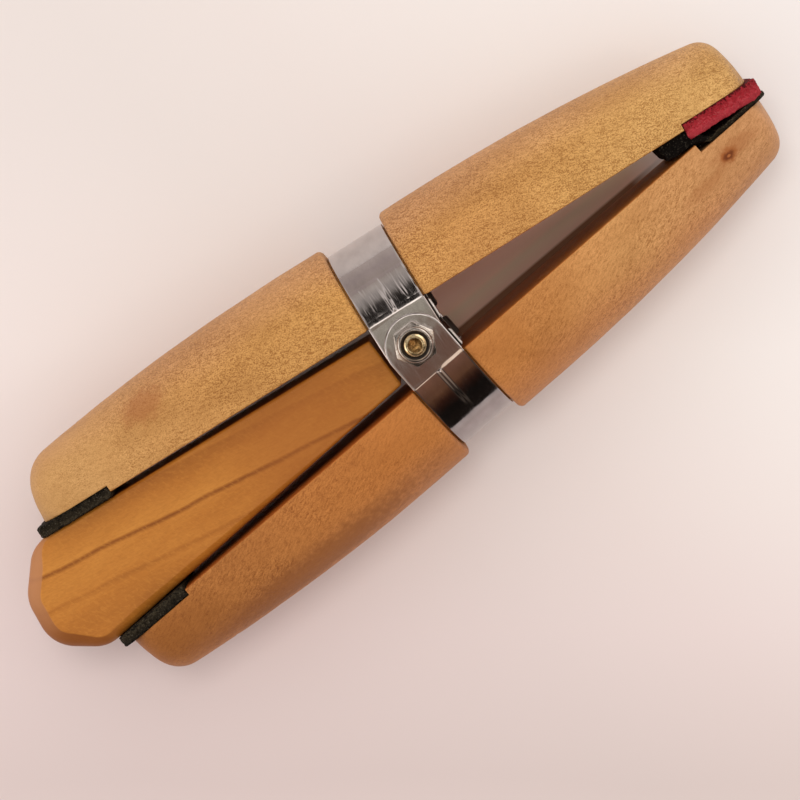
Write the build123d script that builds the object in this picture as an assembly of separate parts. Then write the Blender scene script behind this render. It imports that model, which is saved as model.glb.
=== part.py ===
from build123d import *
from math import acos, asin, atan2, cos, degrees, hypot, radians, sin, tan
import os

# Two-jaw hand clamp for holding small rings. A turned hardwood stick is split
# lengthwise into two jaws. Each jaw is held in a U-shaped steel strap, and the
# straps turn on one bolt. A wooden wedge driven in at one end closes the
# leather-faced tips at the other end.
# Millimetres. X runs along the clamp towards the gripping tips, Y points to
# the upper jaw and Z lies along the bolt. The pieces are drawn about the pivot
# and moved at the end, so that the origin is the bottom centre of the whole.

# jaws
half_length = 74.0
barrel_radius = 16.0
end_rim_radius = 11.6
barrel_straight = 15.0
end_dome = 2.3
tip_rounding = 4.5
wedge_end_rounding_a = 7.0
wedge_end_rounding_b = 5.5
pivot_to_face = 6.25
tip_gap = 0.28
shoulder_easing = 0.8

# groove round the jaw, and the strap in it
groove_depth = 2.6
strap_width = 11.5
strap_side_gap = 0.25
strap_thickness = 0.75
seat_gap = 0.02

# strap ears, which cross the jaw's inner face and lie over the pivot
ear_rise = 0.5
ear_gap = 0.05
crease_offset = 0.05
crease_radius = 0.5
ear_arc_offset = 0.55
bolt_hole_gap = 0.06

# stiffening bead pressed across each crease
bead_width = 1.6
bead_height = 0.35
bead_start_gap = 0.45
bead_length = 7.0

# lug turned down from the edge of each ear that faces the tips
lug_near = 1.6
lug_length = 3.8
lug_depth = 3.2
lug_overhang = 0.7
lug_bend_radius = 0.55
lug_corner = 0.9

# pivot hardware: M4 bolt, lock nut with a plastic ring, spacer tube
bolt_radius = 2.0
thread_gap = 0.02
bolt_end_above_nut = 0.8
bolt_end_chamfer = 0.5
head_radius = 3.6
head_height = 2.2
head_slope_height = 1.0
head_slope_width = 1.5
socket_flats = 2.5
socket_depth = 1.2
nut_flats = 7.0
nut_hex_height = 3.5
nut_height = 5.0
nut_collar_radius = 3.15
nut_corner_drop = 0.35
nut_turn = 2.0
ring_radius = 2.65
ring_height = 1.2
ring_lip = 0.35
spacer_radius = 3.2
spacer_chamfer = 0.3
face_gap = 0.05

# leather pads, let into the jaws' inner faces. Each stands proud of the wood, except
# the lower tip pad, which lies below it and takes the thicker upper one.
pad_length = 15.5
pad_overhang = 1.0
pad_edge_gap = 0.15
pad_corner = 3.6
upper_tip_pad_thickness = 2.4
upper_tip_pad_proud = 1.2
lower_tip_pad_thickness = 0.9
lower_tip_pad_proud = -0.7
wedge_pad_thickness = 2.1
wedge_pad_proud = 0.9

# wedge
wedge_height = 20.0
wedge_half_angle = 5.3
wedge_narrow_end = 6.5
wedge_clearance = 0.05
wedge_shoulder = 2.3
wedge_nose_length = 7.4
wedge_nose_skew = 8.0
wedge_upper_clip_angle = 47.0
wedge_lower_clip_angle = 36.0
wedge_nose_rounding = 3.0
wedge_corner_rounding = 5.0
wedge_edge_easing = 0.5

# worked out from the sizes above
groove_half_width = strap_width / 2 + strap_side_gap
groove_radius = barrel_radius - groove_depth
strap_radius = groove_radius + seat_gap + strap_thickness
ear_half_width = strap_width / 2
ear_reach = ear_half_width - ear_arc_offset
inner_ear_top = groove_radius + ear_rise + strap_thickness
outer_ear_top = inner_ear_top + ear_gap + strap_thickness
pad_end = half_length + pad_overhang
tip_pad_face = pivot_to_face - (upper_tip_pad_proud + lower_tip_pad_proud) / 2
rest_angle = degrees(atan2(tip_pad_face, pad_end) - asin(tip_gap / 2 / hypot(tip_pad_face, pad_end)))


def barrel_profile(end_rounding_low, end_rounding_high):
    """Half section of the turned stick: bowed sides, domed and rounded ends, strap groove."""
    rim_x = half_length - end_dome
    high_side = TangentArc((barrel_straight, barrel_radius), (rim_x, end_rim_radius), tangent=(1, 0))
    low_side = TangentArc((-barrel_straight, barrel_radius), (-rim_x, end_rim_radius), tangent=(-1, 0))
    high_dome = TangentArc((half_length, 0), (rim_x, end_rim_radius), tangent=(0, 1))
    low_dome = TangentArc((-half_length, 0), (-rim_x, end_rim_radius), tangent=(0, 1))
    floor = Polyline(
        (-barrel_straight, barrel_radius),
        (-groove_half_width, barrel_radius),
        (-groove_half_width, groove_radius),
        (groove_half_width, groove_radius),
        (groove_half_width, barrel_radius),
        (barrel_straight, barrel_radius),
    )
    axis_line = Line((-half_length, 0), (half_length, 0))
    face = make_face([axis_line, high_dome, high_side, floor, low_side, low_dome])
    shoulders = face.vertices().filter_by(
        lambda v: abs(abs(v.X) - groove_half_width) < 0.01 and v.Y > groove_radius + 0.01
    )
    face = chamfer(shoulders, shoulder_easing)
    for side, radius in ((-1, end_rounding_low), (1, end_rounding_high)):
        rim = face.vertices().filter_by(
            lambda v, s=side: abs(v.X - s * rim_x) < 0.01 and abs(v.Y - end_rim_radius) < 0.01
        )
        face = fillet(rim, radius)
    return face


def pad_outline(pad_middle_radius, pad_end_radius):
    """Plan of a pad in X and Z, from its inner end at x = 0 out to its rounded free end."""
    inner = pad_middle_radius - pad_edge_gap
    outer = pad_end_radius - pad_edge_gap
    outline = Polygon(
        (0, -inner), (pad_length, -outer), (pad_length, outer), (0, inner), align=None
    )
    free_corners = outline.vertices().group_by(Axis.X)[-1]
    return fillet(free_corners, pad_corner)


def side_radius(x):
    """Radius of the bowed side at a distance x from the middle."""
    run = half_length - end_dome - barrel_straight
    drop = barrel_radius - end_rim_radius
    bow = (run**2 + drop**2) / (2 * drop)
    beyond = max(abs(x) - barrel_straight, 0)
    return barrel_radius - bow + (bow**2 - beyond**2) ** 0.5


def jaw(wedge_end_rounding, tip_recess):
    """Half barrel on the +Y side of its flat face, which lies pivot_to_face from the pivot."""
    profile = Plane.XZ * barrel_profile(wedge_end_rounding, tip_rounding)
    barrel = revolve(profile, Axis.X, 360)
    half = split(barrel, bisect_by=Plane.XZ, keep=Keep.BOTTOM)
    recess_length = pad_length - pad_overhang
    wedge_recess = wedge_pad_thickness - wedge_pad_proud
    for side, depth in ((1, tip_recess), (-1, wedge_recess)):
        recess = Box(2 * recess_length, 2 * depth, 4 * barrel_radius)
        half = half - Pos(side * half_length, 0, 0) * recess
    return Pos(0, pivot_to_face, 0) * half


def pad(side, thickness, proud):
    """Leather pad in the recess at the tip end, side = 1, or at the wedge end, side = -1."""
    inner_x = half_length - (pad_length - pad_overhang)
    outline = pad_outline(side_radius(inner_x), side_radius(half_length - end_dome))
    slab = extrude(Plane.XZ * outline, -thickness)
    slab = Pos(inner_x, pivot_to_face - proud, 0) * slab
    if side < 0:
        slab = slab.mirror(Plane.YZ)
    return slab


def flank_angle(ear_top):
    """Direction, seen from the barrel's centre, in which the strap leaves the round groove."""
    reach = hypot(crease_offset, ear_top)
    return degrees(atan2(ear_top, crease_offset)) - degrees(acos(strap_radius / reach))


def strap_region(inset):
    """Area inside a curve that runs parallel to the strap's outer face, inset inwards from it."""
    radius = strap_radius - inset
    corners = []
    tangents = []
    for up, ear_top in ((1, inner_ear_top), (-1, outer_ear_top)):
        angle = radians(flank_angle(ear_top))
        height = ear_top - inset
        crease_y = (radius - height * sin(angle)) / cos(angle)
        corners.append((pivot_to_face + crease_y, up * height))
        tangents.append((pivot_to_face + radius * cos(angle), up * radius * sin(angle)))
    end_y = -ear_half_width - ear_arc_offset
    hoop = ThreePointArc(tangents[0], (pivot_to_face + radius, 0), tangents[1])
    top = Polyline((end_y, corners[0][1]), corners[0], tangents[0])
    bottom = Polyline(tangents[1], corners[1], (end_y, corners[1][1]))
    close = Line((end_y, corners[1][1]), (end_y, corners[0][1]))
    face = make_face([top, hoop, bottom, close])
    creases = face.vertices().filter_by(
        lambda v: min(abs(v.X - c[0]) + abs(v.Y - c[1]) for c in corners) < 0.01
    )
    return fillet(creases, crease_radius + strap_thickness - inset)


def strap():
    """U-shaped half strap with two drilled ears, pressed beads and turned-down lugs."""
    band_section = strap_region(0) - strap_region(strap_thickness)
    band = extrude(Plane.YZ * band_section, ear_half_width, both=True)
    tall = 3 * barrel_radius
    far = pivot_to_face + 2 * barrel_radius
    round_end = Pos(0, ear_arc_offset, 0) * Cylinder(ear_half_width, tall)
    straight = Pos(0, ear_arc_offset, 0) * Box(
        strap_width, far, tall, align=(Align.CENTER, Align.MIN, Align.CENTER)
    )
    body = band & (round_end + straight)
    body = body - Cylinder(bolt_radius + bolt_hole_gap, tall)
    bead_section = strap_region(-bead_height) - strap_region(strap_thickness / 2)
    ridge = extrude(Plane.YZ * bead_section, bead_width / 2, both=True)
    bead_start = ear_reach + bead_start_gap
    bead_plan = Pos(0, bead_start + bead_length / 2) * SlotOverall(bead_length, bead_width, rotation=90)
    beads = ridge & extrude(bead_plan, tall, both=True)
    body = body + beads
    for up, ear_top in ((1, inner_ear_top), (-1, outer_ear_top)):
        middle = ear_top - strap_thickness / 2
        outside = ear_half_width + lug_overhang - strap_thickness / 2
        bend = FilletPolyline(
            (ear_half_width - lug_bend_radius - strap_thickness / 2, middle),
            (outside, middle),
            (outside, ear_top - lug_depth),
            radius=lug_bend_radius,
        )
        lug = extrude(Plane.XZ * trace(bend, strap_thickness), -lug_length)
        low_edges = lug.edges().filter_by(Axis.X).group_by(Axis.Z)[0]
        lug = fillet(low_edges, lug_corner)
        lug = Pos(0, lug_near, 0) * lug
        if up < 0:
            lug = lug.mirror(Plane.XY)
        body = body + lug
    return body


def bolt():
    """Low round head below the lower ears, shank up through the lock nut."""
    head_top = -outer_ear_top - face_gap
    shank_end = outer_ear_top + face_gap + nut_height + bolt_end_above_nut
    head = Pos(0, 0, head_top - head_height) * Cylinder(
        head_radius, head_height, align=(Align.CENTER, Align.CENTER, Align.MIN)
    )
    head = chamfer(head.edges().group_by(Axis.Z)[0], head_slope_height, head_slope_width)
    socket = Pos(0, 0, head_top - head_height) * extrude(
        RegularPolygon(socket_flats / 2, 6, major_radius=False), socket_depth
    )
    shank = Pos(0, 0, head_top) * Cylinder(
        bolt_radius, shank_end - head_top, align=(Align.CENTER, Align.CENTER, Align.MIN)
    )
    shank = chamfer(shank.edges().group_by(Axis.Z)[-1], bolt_end_chamfer)
    return head - socket + shank


def lock_nut():
    """Hexagon with a round collar, whose lip is rolled in over the plastic ring."""
    bottom = outer_ear_top + face_gap
    corner_radius = nut_flats / 2 / cos(radians(30))
    hexagon = extrude(RegularPolygon(nut_flats / 2, 6, major_radius=False), nut_hex_height)
    cone_side = nut_corner_drop * 2
    envelope = make_face(
        Polyline(
            (0, 0),
            (corner_radius - cone_side, 0),
            (corner_radius, nut_corner_drop),
            (corner_radius, nut_hex_height - nut_corner_drop),
            (corner_radius - cone_side, nut_hex_height),
            (0, nut_hex_height),
            (0, 0),
        )
    )
    hexagon = hexagon & revolve(Plane.XZ * envelope, Axis.Z)
    collar = Cylinder(nut_collar_radius, nut_height, align=(Align.CENTER, Align.CENTER, Align.MIN))
    collar = chamfer(collar.edges().group_by(Axis.Z)[-1], ring_lip)
    nut = hexagon + collar
    nut = nut - Cylinder(bolt_radius + thread_gap, 3 * nut_height)
    pocket_bottom = nut_height - ring_lip - ring_height
    pocket = Pos(0, 0, pocket_bottom) * Cylinder(
        ring_radius, ring_height, align=(Align.CENTER, Align.CENTER, Align.MIN)
    )
    mouth = Pos(0, 0, pocket_bottom) * Cylinder(
        ring_radius - ring_lip, nut_height, align=(Align.CENTER, Align.CENTER, Align.MIN)
    )
    return Pos(0, 0, bottom) * Rot(0, 0, nut_turn) * (nut - pocket - mouth)


def tube(outer_radius, inner_radius, bottom, height):
    """Plain tube round the pivot axis."""
    up = (Align.CENTER, Align.CENTER, Align.MIN)
    wall = Cylinder(outer_radius, height, align=up) - Cylinder(inner_radius, height, align=up)
    return Pos(0, 0, bottom) * wall


def nut_ring():
    """Plastic ring that grips the thread, held in the nut's collar."""
    pocket_bottom = outer_ear_top + face_gap + nut_height - ring_lip - ring_height
    height = ring_height - 2 * seat_gap
    return tube(ring_radius - seat_gap, bolt_radius + thread_gap, pocket_bottom + seat_gap, height)


def spacer():
    """Tube that holds the two inner ears apart."""
    half = inner_ear_top - strap_thickness - face_gap
    body = tube(spacer_radius, bolt_radius + bolt_hole_gap, -half, 2 * half)
    rims = body.edges().filter_by(GeomType.CIRCLE).filter_by(lambda e: e.radius > spacer_radius - 0.01)
    return chamfer(rims, spacer_chamfer)


def nose_corner(side, shoulder_x, shoulder_y, clip_angle):
    """Corner between the clip on one side of the wedge and its skewed end face."""
    clip = radians(clip_angle)
    skew = side * tan(radians(wedge_nose_skew))
    run = (wedge_nose_length - skew * shoulder_y) / (cos(clip) - skew * sin(clip))
    return (shoulder_x - run * cos(clip), side * (shoulder_y - run * sin(clip)))


def wedge():
    """Tapered block with a blunt, clipped nose, just clear of the wedge-end pads."""
    turn = radians(rest_angle)
    pad_face = pivot_to_face - wedge_pad_proud
    touch_x = -pad_end * cos(turn) + pad_face * sin(turn)
    touch_y = pad_end * sin(turn) + pad_face * cos(turn) - wedge_clearance
    slope = tan(radians(wedge_half_angle))
    shoulder_x = touch_x - wedge_shoulder
    shoulder_y = touch_y + wedge_shoulder * slope
    narrow_y = touch_y - (-wedge_narrow_end - touch_x) * slope
    outline = Polygon(
        (-wedge_narrow_end, -narrow_y),
        (-wedge_narrow_end, narrow_y),
        (shoulder_x, shoulder_y),
        nose_corner(1, shoulder_x, shoulder_y, wedge_upper_clip_angle),
        nose_corner(-1, shoulder_x, shoulder_y, wedge_lower_clip_angle),
        (shoulder_x, -shoulder_y),
        align=None,
    )
    nose_corners = outline.vertices().filter_by(lambda v: v.X < shoulder_x - wedge_shoulder)
    outline = fillet(nose_corners, wedge_corner_rounding)
    block = extrude(outline, wedge_height / 2, both=True)
    nose_edges = block.edges().filter_by(
        lambda e: abs(e.center().Z) > wedge_height / 2 - 0.01 and e.center().X < shoulder_x - 0.01
    )
    block = fillet(nose_edges, wedge_nose_rounding)
    narrow_edges = block.edges().group_by(Axis.X)[-1]
    block = chamfer(narrow_edges, wedge_edge_easing)
    long_edges = block.edges().filter_by(
        lambda e: abs(e.center().Z) > wedge_height / 2 - 0.01 and e.length > half_length / 2
    )
    return chamfer(long_edges, wedge_edge_easing / 2)


def upper(piece):
    """Turn a piece of the upper jaw into its rest pose."""
    return Rot(0, 0, -rest_angle) * piece


def lower(piece):
    """Turn an upper jaw's piece over, so that it belongs to the lower jaw."""
    return Rot(0, 0, rest_angle) * Rot(180, 0, 0) * piece


pieces = {
    "upper_jaw": upper(jaw(wedge_end_rounding_a, upper_tip_pad_thickness - upper_tip_pad_proud)),
    "lower_jaw": lower(jaw(wedge_end_rounding_b, lower_tip_pad_thickness - lower_tip_pad_proud)),
    "upper_strap": upper(strap()),
    "lower_strap": lower(strap()),
    "pivot_bolt": bolt(),
    "lock_nut": lock_nut(),
    "nut_ring": nut_ring(),
    "spacer_tube": spacer(),
    "wedge": wedge(),
    "upper_tip_pad": upper(pad(1, upper_tip_pad_thickness, upper_tip_pad_proud)),
    "lower_tip_pad": lower(pad(1, lower_tip_pad_thickness, lower_tip_pad_proud)),
    "upper_wedge_pad": upper(pad(-1, wedge_pad_thickness, wedge_pad_proud)),
    "lower_wedge_pad": lower(pad(-1, wedge_pad_thickness, wedge_pad_proud)),
}

whole = Compound(children=[Compound([solid for solid in piece.solids()]) for piece in pieces.values()])
outer_box = whole.bounding_box()
to_base = Pos(-outer_box.center().X, -outer_box.center().Y, -outer_box.min.Z)

os.makedirs("parts", exist_ok=True)
for name, piece in pieces.items():
    export_step(to_base * piece, f"parts/{name}.step")

print("pivot at", to_base.position)
print("overall", outer_box.size)
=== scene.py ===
from functools import partialmethod
from math import acos, asin, atan2, cos, degrees, hypot, pi, radians, sin, sqrt, tan

import bmesh
import bpy
import numpy as np
from mathutils import Matrix, Quaternion, Vector, noise


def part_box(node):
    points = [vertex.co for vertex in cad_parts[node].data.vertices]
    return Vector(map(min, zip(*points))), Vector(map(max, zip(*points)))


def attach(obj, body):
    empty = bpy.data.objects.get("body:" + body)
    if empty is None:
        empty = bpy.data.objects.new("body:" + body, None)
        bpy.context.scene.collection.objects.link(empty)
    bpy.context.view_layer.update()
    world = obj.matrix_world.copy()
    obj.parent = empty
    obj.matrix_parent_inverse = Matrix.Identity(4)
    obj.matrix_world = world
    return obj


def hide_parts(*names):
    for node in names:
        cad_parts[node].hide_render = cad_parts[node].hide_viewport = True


# A two-jaw wooden hand clamp for holding rings, seen from above on a pale table.
# Sizes below are millimetres about the pivot axis. X runs towards the gripping tips,
# Y points to the upper jaw and Z is up along the bolt.

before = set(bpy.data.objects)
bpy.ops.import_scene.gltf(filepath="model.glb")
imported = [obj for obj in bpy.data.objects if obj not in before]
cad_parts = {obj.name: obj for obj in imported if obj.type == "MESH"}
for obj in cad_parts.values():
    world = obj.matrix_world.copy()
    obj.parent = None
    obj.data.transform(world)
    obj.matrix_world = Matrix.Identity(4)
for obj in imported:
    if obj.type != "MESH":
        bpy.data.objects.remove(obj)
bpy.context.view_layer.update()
MM = 0.001
weld_distance, shortest_edge = 0.002, 0.001  # points and edges closer than this are merged
clamp_turn = radians(36.5)  # how far the clamp lies turned in the picture
tone_span = 160.0  # length that the colour ramps along the clamp run over

# jaws
half_length = 74.0
barrel_radius = 16.0
end_rim_radius = 11.6
barrel_straight = 15.0
end_dome = 2.3
tip_rounding = 4.5
wedge_end_roundings = {"upper": 7.0, "lower": 5.5}
pivot_to_face = 6.25
tip_gap = 0.28
shoulder_rounding = 0.9
groove_depth = 2.6
groove_half_width = 6.0
groove_corner = 0.25
groove_easing = 0.25
recess_step = 0.06
least_wood = 0.5

# straps
strap_half_width = 5.75
strap_thickness = 0.75
seat_gap = 0.02
ear_rise = 0.5
ear_gap = 0.05
crease_offset = 0.05
crease_radius = 1.7
crease_worn_radius = 2.4
crease_sharp_radius = 0.06
crease_bow = 6.5
crease_steps = 8
ear_arc_offset = 0.55
bolt_hole_radius = 2.06
bead_sizes = {"upper": (0.12, 7.0), "lower": (0.34, 11.5)}
bead_half_width, bead_start, bead_rise, fine_half_width = 0.66, 0.1, 0.6, 0.8
lug_spans = ((1.35, 5.35), (1.95, 5.6))
lug_gap, lug_plate, lug_depth = 0.32, 0.3, 1.9
lug_floor, lug_floor_plate = 0.7, 0.3
lug_lip_drop = 0.08
lug_near_rounding, lug_far_rounding = 0.6, 0.35
lug_root_inset = 0.3
strap_edge_rounding = 0.21

# pads
pad_length = 15.5
pad_overhang = 1.0
pad_edge_gap = 0.15
pad_corner, pad_inner_corner = 3.6, 0.3
curl_length, curl_narrowing = 5.3, 0.7
tip_pad_thickness = {"upper": 2.4, "lower": 0.9}
tip_pad_proud = {"upper": 1.2, "lower": -0.7}
wedge_pad_thickness = 2.1
wedge_pad_proud = 0.9

# wedge
wedge_height = 20.0
wedge_half_angle = 5.3
wedge_narrow_end = 6.5
wedge_clearance = 0.05
wedge_shoulder = 2.3
wedge_nose_length = 7.4
wedge_nose_skew = 8.0
wedge_clip_angles = {1: 47.0, -1: 36.0}
wedge_nose_rounding = 2.8
wedge_worn_rounding = 7.0
wedge_narrow_rounding = 0.4
wedge_shoulder_rounding = 6.5

# pivot hardware
bolt_radius = 2.0
thread_pitch, thread_depth, thread_length, thread_run_in, thread_step = 0.7, 0.32, 2.4, 0.5, 0.05
bolt_end_above_nut = 0.8
bolt_end_rounding = 0.62
head_radius = 3.6
head_height = 2.2
head_side = 0.9
head_face_radius = 2.1
hub_radius = 0.02
socket_flats = 2.5
socket_depth = 1.2
socket_easing = 0.15
nut_flats = 7.0
nut_hex_height = 3.5
nut_height = 5.0
nut_collar_radius = 3.15
nut_corner_drop = 0.35
nut_corner_easing = 0.06
nut_face_radius = 2.9
nut_fillet = 0.22
nut_roll = 0.55
nut_lip_easing = 0.12
nut_turn = 2.0
ring_radius = 2.65
ring_height = 1.2
ring_lip = 0.35
spacer_radius = 3.2
spacer_easing = 0.3
face_gap = 0.05
hardware_gap = 0.02

# worked out from the sizes above and from the frame
nut_lip_radius = bolt_radius + 0.5
bow_run = half_length - end_dome - barrel_straight
bow_drop = barrel_radius - end_rim_radius
bow_radius = (bow_run**2 + bow_drop**2) / (2 * bow_drop)
pad_inner_x = half_length - (pad_length - pad_overhang)
groove_radius = barrel_radius - groove_depth
strap_radius = groove_radius + seat_gap + strap_thickness
inner_ear_top = groove_radius + ear_rise + strap_thickness
outer_ear_top = inner_ear_top + ear_gap + strap_thickness
pad_end = half_length + pad_overhang
tip_pad_face = pivot_to_face - (tip_pad_proud["upper"] + tip_pad_proud["lower"]) / 2
rest_angle = atan2(tip_pad_face, pad_end) - asin(tip_gap / 2 / hypot(tip_pad_face, pad_end))
bolt_low, bolt_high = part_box("pivot_bolt")
jaw_low, jaw_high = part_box("upper_jaw")
pivot = (bolt_low + bolt_high) / 2
pivot.z = (jaw_low.z + jaw_high.z) / 2
JAW_TURN = {"upper": Matrix.Rotation(-rest_angle, 4, "Z"),
            "lower": Matrix.Rotation(rest_angle, 4, "Z") @ Matrix.Rotation(pi, 4, "X")}


# Mesh helpers

def rough(x, y, z, size, depth=2):
    """Smooth noise from about -1 to 1 at a point in millimetres, with features of the given size."""
    return noise.fractal(Vector((x / size, y / size, z / size)), 0.6, 2.0, depth)


def smooth_step(value):
    """0 to 1, level at both ends."""
    value = min(max(value, 0.0), 1.0)
    return value * value * (3 - 2 * value)


def between(start, end, share):
    """Point at a share of the way from one point to another."""
    return tuple(a + (b - a) * share for a, b in zip(start, end))


def add_object(name, data):
    """A new object in the scene."""
    added = bpy.data.objects.new(name, data)
    bpy.context.scene.collection.objects.link(added)
    return added


def make_piece(name, points, faces, turn, body, slot, stands_for, sharp_angle=38.0):
    """Makes a mesh from points in millimetres about the pivot and hangs it on its body."""
    mesh = bpy.data.meshes.new(name)
    place = Matrix.Translation(pivot) @ turn @ Matrix.Scale(MM, 4)
    mesh.from_pydata([place @ Vector(p) for p in points], [], faces)
    mesh.validate()
    shaped = bmesh.new()
    shaped.from_mesh(mesh)
    bmesh.ops.remove_doubles(shaped, verts=shaped.verts, dist=weld_distance * MM)
    bmesh.ops.dissolve_degenerate(shaped, edges=shaped.edges, dist=shortest_edge * MM)
    bmesh.ops.recalc_face_normals(shaped, faces=shaped.faces)
    shaped.to_mesh(mesh)
    shaped.free()
    mesh.shade_smooth()
    mesh.set_sharp_from_angle(angle=radians(sharp_angle))
    piece = add_object(name, mesh)
    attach(piece, body)
    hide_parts(stands_for)
    return piece


def jaw_piece(side, name, skin, slot, node, sharp_angle=38.0):
    """A piece on one of the jaws, from points drawn before the jaw's turn, and faces."""
    return make_piece(name, *skin, JAW_TURN[side], side + "_jaw", slot, node, sharp_angle)


def join(rows, closed=True):
    """Faces between neighbouring rows of point numbers."""
    first = 0 if closed else 1
    return [(a[k - 1], a[k], b[k], b[k - 1])
            for a, b in zip(rows, rows[1:]) for k in range(first, len(a))]


def loft(rows, capped=True):
    """Points and faces of a skin over closed rows with the same number of points."""
    count = len(rows[0])
    points = [p for row in rows for p in row]
    numbers = [range(first, first + count) for first in range(0, len(points), count)]
    caps = [tuple(reversed(numbers[0])), tuple(numbers[-1])] if capped else []
    return points, join(numbers) + caps


def arc_points(centre, radius, start, end, count):
    """Points of an arc in a plane, with the outward direction at each."""
    angles = np.linspace(radians(start), radians(end), count)
    return [(centre[0] + radius * cos(a), centre[1] + radius * sin(a), cos(a), sin(a)) for a in angles]


def line_points(start, end, normal, count):
    """Points of a straight run in a plane, without its two ends, each with its normal."""
    return [(*between(start, end, t), *normal) for t in np.linspace(0, 1, count + 2)[1:-1]]


# Jaws

def half_profile(end_rounding):
    """Half outline of the turned stick from the groove's middle to one end: x, radius and normal."""
    bow_centre = (barrel_straight, barrel_radius - bow_radius)
    dome = (end_dome**2 + end_rim_radius**2) / (2 * end_dome)
    dome_centre = (half_length - dome, 0.0)
    gap = hypot(bow_centre[0] - dome_centre[0], bow_centre[1] - dome_centre[1])
    to_bow, to_dome = bow_radius - end_rounding, dome - end_rounding
    along = (to_bow**2 - to_dome**2 + gap**2) / (2 * gap)
    across = sqrt(to_bow**2 - along**2)
    ux, uy = (dome_centre[0] - bow_centre[0]) / gap, (dome_centre[1] - bow_centre[1]) / gap
    centre = (bow_centre[0] + ux * along + uy * across, bow_centre[1] + uy * along - ux * across)
    bow_end = degrees(atan2(centre[1] - bow_centre[1], centre[0] - bow_centre[0]))
    dome_start = degrees(atan2(centre[1] - dome_centre[1], centre[0] - dome_centre[0]))
    corner_x, corner_top = groove_half_width - groove_corner, groove_radius + groove_corner
    shoulder = (groove_half_width + shoulder_rounding, barrel_radius - shoulder_rounding)
    path = line_points((0, groove_radius), (corner_x, groove_radius), (0, 1), 5)
    path += [(corner_x - 0.01, groove_radius, 0, 1)]
    hollow = arc_points((corner_x, corner_top), groove_corner, -90, 0, 4)
    path += [(x, r, -nx, -nr) for x, r, nx, nr in hollow]
    path += line_points((groove_half_width, corner_top), (groove_half_width, shoulder[1]), (-1, 0), 3)
    path += arc_points(shoulder, shoulder_rounding, 180, 90, 7)
    path += line_points((shoulder[0], barrel_radius), (barrel_straight, barrel_radius), (0, 1), 13)
    path += arc_points(bow_centre, bow_radius, 90, bow_end, 84)
    path += arc_points(centre, end_rounding, bow_end, dome_start, 14)[1:]
    path += arc_points(dome_centre, dome, dome_start, 0, 20)[1:]
    return path


def jaw_sections(side):
    """Stations of the half barrel from the wedge end to the tips: x, radius, normal and the depth
    that the wood is cut back to for a pad."""
    left = [(-x, r, -nx, nr) for x, r, nx, nr in half_profile(wedge_end_roundings[side])]
    right = half_profile(tip_rounding)
    path = list(reversed(left)) + right
    tip_recess = tip_pad_thickness[side] - tip_pad_proud[side]
    wedge_recess = wedge_pad_thickness - wedge_pad_proud
    kept = []
    for x, r, nx, nr in path:
        recess = tip_recess if x > pad_inner_x else wedge_recess if x < -pad_inner_x else 0.0
        if r < recess + least_wood or abs(abs(x) - pad_inner_x) < 2 * recess_step:
            continue
        kept.append((x, r, nx, nr, recess))
    for end, recess in ((-1, wedge_recess), (1, tip_recess)):
        edge = end * pad_inner_x
        near = min(kept, key=lambda p: abs(p[0] - edge))[1:4]
        kept += [(edge, *near, 0.0), (edge + end * recess_step, *near, recess)]
    return sorted(kept, key=lambda p: p[0])


def edge_wear(x, z_side, seed):
    """Rounding of an inner edge of the jaw, in millimetres, with small knocks along it."""
    soft = 0.26 + 0.07 * rough(x, z_side * 9, seed, 6.0)
    knock = max(0.0, rough(x, z_side * 31, seed + 5, 1.7, 3) - 0.42)
    return soft + 0.9 * knock


def jaw_mesh(side, seed):
    """Half barrel with a groove, recesses for the pads and worn, slightly dented faces."""
    arc_count, round_count, chord_count = 64, 5, 9
    eased_angles = np.linspace(0, pi / 2, round_count + 1)
    rows = []
    last_x = -1e9
    for x, r, nx, nr, level in jaw_sections(side):
        x = max(x, last_x + 0.004)
        last_x = x
        in_groove = abs(x) < groove_half_width + 0.05
        ease_top, ease_low = (min(groove_easing if in_groove else edge_wear(x, up, seed), 0.45 * (r - level))
                              for up in (1, -1))
        turn_low, turn_top = acos((level + ease_low) / r), acos((level + ease_top) / r)

        def rim(a, ease, up):
            """Point of the rounding between the barrel and the inner face."""
            shrink = ease * (1 - cos(a))
            y = level + ease * (1 - sin(a))
            return x - nx * shrink, y, up * sqrt(max((r - nr * shrink) ** 2 - y**2, 1e-6))

        row = []
        for a in np.linspace(-turn_low, turn_top, arc_count):
            px, py, pz = x, r * cos(a), r * sin(a)
            if not in_groove:
                dent = 0.05 + 0.05 * rough(px, py + seed, pz, 13.0)
                dent += 0.02 * rough(px * 0.3, py, pz + seed, 2.2)
                dent = max(dent, 0.0) * min(1.0, (turn_top - a) / 0.08, (a + turn_low) / 0.08)
                px, py, pz = px - nx * dent, py - nr * cos(a) * dent, pz - nr * sin(a) * dent
            row.append((px, py, pz))
        row += [rim(a, ease_top, 1) for a in eased_angles[1:]]
        top, low = row[-1], rim(pi / 2, ease_low, -1)
        row += [between(top, low, t) for t in np.linspace(0, 1, chord_count + 2)[1:-1]]
        row += [rim(a, ease_low, -1) for a in eased_angles[:0:-1]]
        rows.append([(px, py + pivot_to_face, pz) for px, py, pz in row])
    return jaw_piece(side, side + "_jaw_wood", loft(rows), side + "_wood", side + "_jaw")


# Slabs: the wedge and the leather pads

def loop_normals(loop):
    """Outward unit normals of a closed plane loop that runs anticlockwise."""
    count = len(loop)
    found = []
    for i in range(count):
        before, after = loop[i - 1], loop[(i + 1) % count]
        dx, dy = after[0] - before[0], after[1] - before[1]
        size = hypot(dx, dy)
        found.append((dy / size, -dx / size))
    return found


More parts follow.
